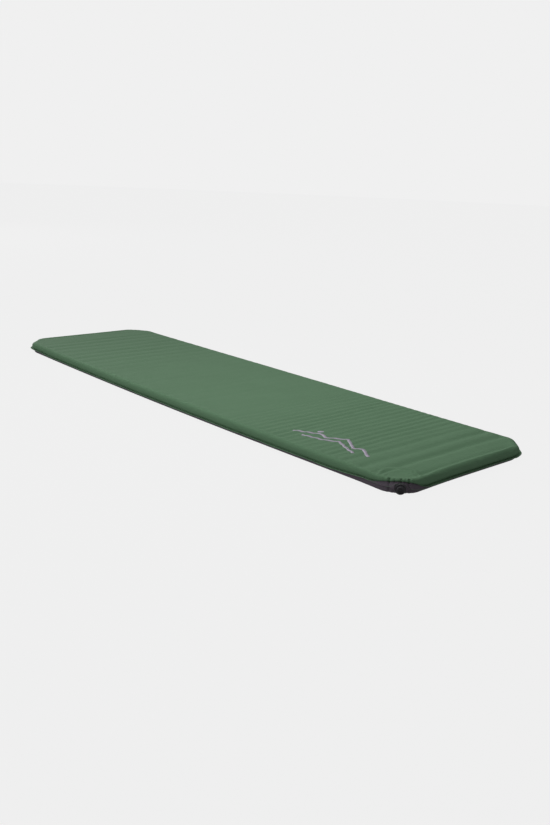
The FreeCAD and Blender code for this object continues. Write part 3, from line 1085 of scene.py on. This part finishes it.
studio = {
    "floorSize": 60.0,
    "floorTone": colour(240, 240, 240),
    "floorGlow": 0.98,        # how much of the floor's brightness is its own
    "floorPaint": (0.8, 0.8, 0.8, 1.0),    # takes the lamps' light for the rest
    "floorRoughness": 0.9,
    "backdropRadius": 25.0,
    "backdropParts": 4,
    "ambient": 0.28,
    "lamps": (
        # name, place, size, watts; each points at the middle of the mat
        ("topLamp", (0.25, 0.00, 1.5), 1.2, 9.8),
        ("sideLamp", (-0.3, -2.6, 1.0), 2.0, 23.0),
        ("farLamp", (-7.0, 0.6, 2.2), 2.0, 150.0),
    ),
}


def glow(shader):
    return shader.node("ShaderNodeEmission", {}, {"Color": studio["floorTone"]}).outputs[0]


def makeStudio():
    size = studio["floorSize"]
    floor = meshObject("floor", [(-size, -size, 0), (size, -size, 0), (size, size, 0), (-size, size, 0)],
                       [(0, 1, 2, 3)], smooth=False)
    paint = Shader("studioFloor")
    paint.set(BaseColor=studio["floorPaint"], Roughness=studio["floorRoughness"], SpecularIORLevel=0.0)
    blend = paint.node("ShaderNodeMixShader", {}, {0: studio["floorGlow"], 1: paint.surface.outputs[0],
                                                   2: glow(paint)})
    paint.feed(paint.output.inputs["Surface"], blend.outputs[0])
    dress(floor, paint.material)
    backdropMesh = bpy.data.meshes.new("backdrop")
    ball = bmesh.new()
    bmesh.ops.create_icosphere(ball, subdivisions=studio["backdropParts"],
                              radius=studio["backdropRadius"])
    ball.to_mesh(backdropMesh)
    ball.free()
    backdrop = bpy.data.objects.new("backdrop", backdropMesh)
    bpy.context.scene.collection.objects.link(backdrop)
    plain = Shader("backdropTone")
    plain.feed(plain.output.inputs["Surface"], glow(plain))
    dress(backdrop, plain.material)
    for staged in (floor, backdrop):
        staged.visible_diffuse = staged.visible_glossy = staged.visible_shadow = False
    world = bpy.data.worlds.new("studio")
    world.use_nodes = True
    sky = world.node_tree.nodes["Background"].inputs
    sky["Color"].default_value, sky["Strength"].default_value = (1, 1, 1, 1), studio["ambient"]
    bpy.context.scene.world = world
    for name, place, size, watts in studio["lamps"]:
        lamp = bpy.data.objects.new(name, bpy.data.lights.new(name, "AREA"))
        lamp.data.energy, lamp.data.size = watts, size
        lamp.location = place
        lamp.rotation_euler = (-Vector(place)).to_track_quat("-Z", "Y").to_euler()
        bpy.context.scene.collection.objects.link(lamp)
    bpy.context.scene.view_settings.view_transform = "Standard"


makeCamera()
makeStudio()
print("camera and studio made")

grid = MatGrid(mat["spacing"], mat["fineReach"])
topSheet = makeSheet("topSheet", topSurface(grid))
bottomSheet = makeSheet("bottomSheet", bottomSurface(grid))
weldBand = makeWeldBand(grid)
print("sheets made,", len(topSheet.data.polygons), "and", len(bottomSheet.data.polygons), "faces")
foamSlab = makeFoamSlab()
print("foam made,", len(foamSlab.data.polygons), "faces")
printedMark = makePrintMark(topSheet)

padFill = 0.9
softPieces = (
    # piece, slot, CAD nodes it stands for, material, fill
    (topSheet, "green_fabric", ("top_fabric", "top_air_film"),
     wovenFabric("greenFabric", greenFabric), padFill),
    (bottomSheet, "charcoal_fabric", ("bottom_fabric", "bottom_air_film"),
     wovenFabric("charcoalFabric", charcoalFabric), padFill),
    (weldBand, "weld", ("seam_weld",), weldMaterial(), None),
    (foamSlab, "foam", ("foam_core",), foamMaterial(), padFill),
    (printedMark, "green_fabric", (), printInk(), None),
)
for piece, slotName, nodes, material, fill in softPieces:
    dress(piece, material)
    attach(piece, "mat")
    if nodes:
        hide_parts(*nodes)
print("soft pieces in place")

blackPlastic = (colour(30, 30, 33), colour(44, 43, 47))
hardFinishes = {
    "valve_base": mouldedPlastic("valvePlastic", *blackPlastic),
    "twist_cap": mouldedPlastic("capPlastic", colour(36, 35, 39), colour(54, 52, 57), 0.38),
    "foam_guard": mouldedPlastic("guardPlastic", colour(186, 188, 190), colour(214, 216, 217), 0.5),
    "plug_spider": mouldedPlastic("spiderPlastic", *blackPlastic),
    "plug_seal": rubber("plugRubber"),
    "cap_seal": rubber("capRubber"),
}
for node, material in hardFinishes.items():
    dress(frame["nodes"][node], material)
print("valve finished")
